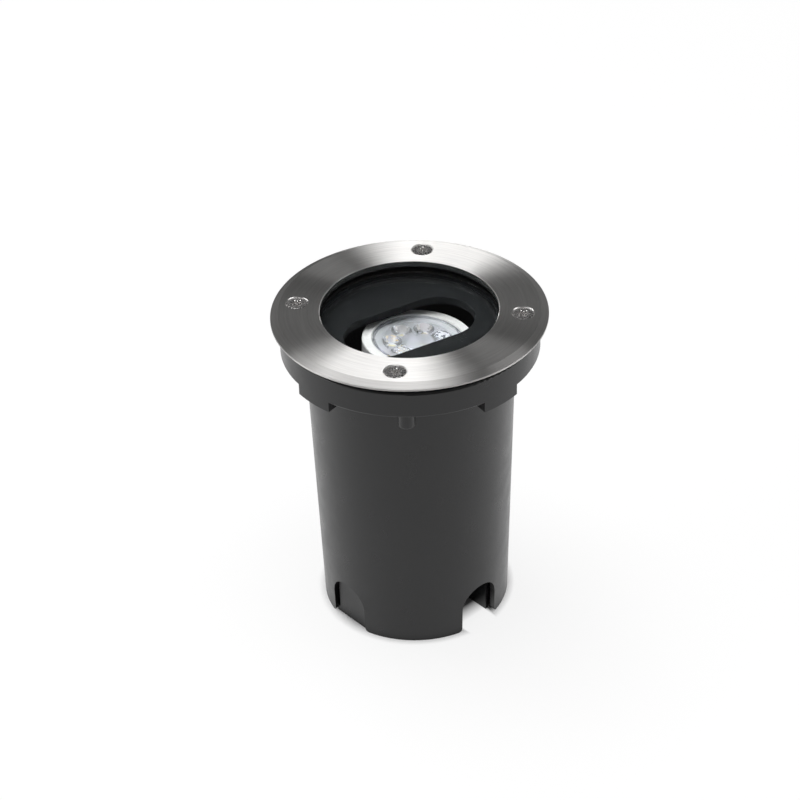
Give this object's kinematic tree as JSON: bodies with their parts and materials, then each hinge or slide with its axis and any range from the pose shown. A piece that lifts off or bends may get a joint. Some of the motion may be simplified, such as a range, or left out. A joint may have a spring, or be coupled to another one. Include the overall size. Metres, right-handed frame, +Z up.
{
  "type": "in ground well light",
  "caption": "In ground well light: round moulded pot with cable arches, brushed steel cover ring, walk-over glass, and a lamp that tilts under a swivelling slotted baffle.",
  "frame": {"origin": "on the pot's axis at its foot, where the light stands", "axes": "+Z up the pot's axis towards the cover ring; -Y towards the front screw boss, which lies between two cable arches; +X to the right seen from the front"},
  "size_m": [0.12, 0.12, 0.1516],
  "materials": {
    "pot_plastic": "satin black moulded plastic",
    "ring_steel": "circular brushed stainless steel",
    "screw_steel": "plain stainless steel",
    "cover_glass": "clear toughened glass",
    "rubber": "black silicone rubber",
    "insert_brass": "turned brass",
    "seat_plastic": "black moulded plastic",
    "baffle_black": "satin black, low glare",
    "arm_steel": "black coated steel strip",
    "fastener_zinc": "zinc plated steel",
    "nylon_black": "black nylon",
    "cradle_steel": "black coated steel strip",
    "holder_ceramic": "unglazed white ceramic",
    "lamp_plastic": "satin white moulded plastic",
    "pin_nickel": "nickel plated",
    "optic_clear": "clear moulded optic",
    "board_white": "white solder mask on aluminium",
    "led_phosphor": "phosphor coated light source",
    "driver_green": "printed circuit board with parts",
    "lead_silicone": "silicone insulation with glass sleeve",
    "connector_nylon": "white nylon terminal block"
  },
  "bodies": {
    "pot": {"pot": "pot_plastic", "gland_body": "nylon_black", "gland_washer": "rubber", "gland_locknut": "nylon_black", "gland_seal": "rubber", "gland_nut": "nylon_black", "flange_gasket": "rubber", "glass_gasket": "rubber", "cover_glass": "cover_glass", "cover_ring": "ring_steel", "cover_screws": "screw_steel", "screw_inserts": "insert_brass", "swivel_seat": "seat_plastic"},
    "swivel": {"baffle": "baffle_black", "arm_left": "arm_steel", "arm_right": "arm_steel", "arm_screws": "fastener_zinc", "pivot_screws": "fastener_zinc", "pivot_nuts": "fastener_zinc", "friction_washers": "nylon_black"},
    "cradle": {"cradle": "cradle_steel", "lampholder": "holder_ceramic", "holder_screws": "fastener_zinc", "lamp_base": "lamp_plastic", "lamp_pins": "pin_nickel", "lamp_body": "lamp_plastic", "lamp_optic": "optic_clear", "led_board": "board_white", "led_chips": "led_phosphor", "driver_board": "driver_green", "holder_leads": "lead_silicone", "connector_block": "connector_nylon", "connector_screws": "fastener_zinc"}
  },
  "joints": [
    {"name": "baffle_swivel", "type": "hinge", "parent": "pot", "child": "swivel", "pos_m": [0, 0, 0.1398], "axis": [0, 0, 1], "range_deg": [-175, 175]},
    {"name": "lamp_tilt", "type": "hinge", "parent": "swivel", "child": "cradle", "pos_m": [0, 0, 0.07249], "axis": [-0.5388, 0.8425, 0], "range_deg": [-18, 10]}
  ]
}
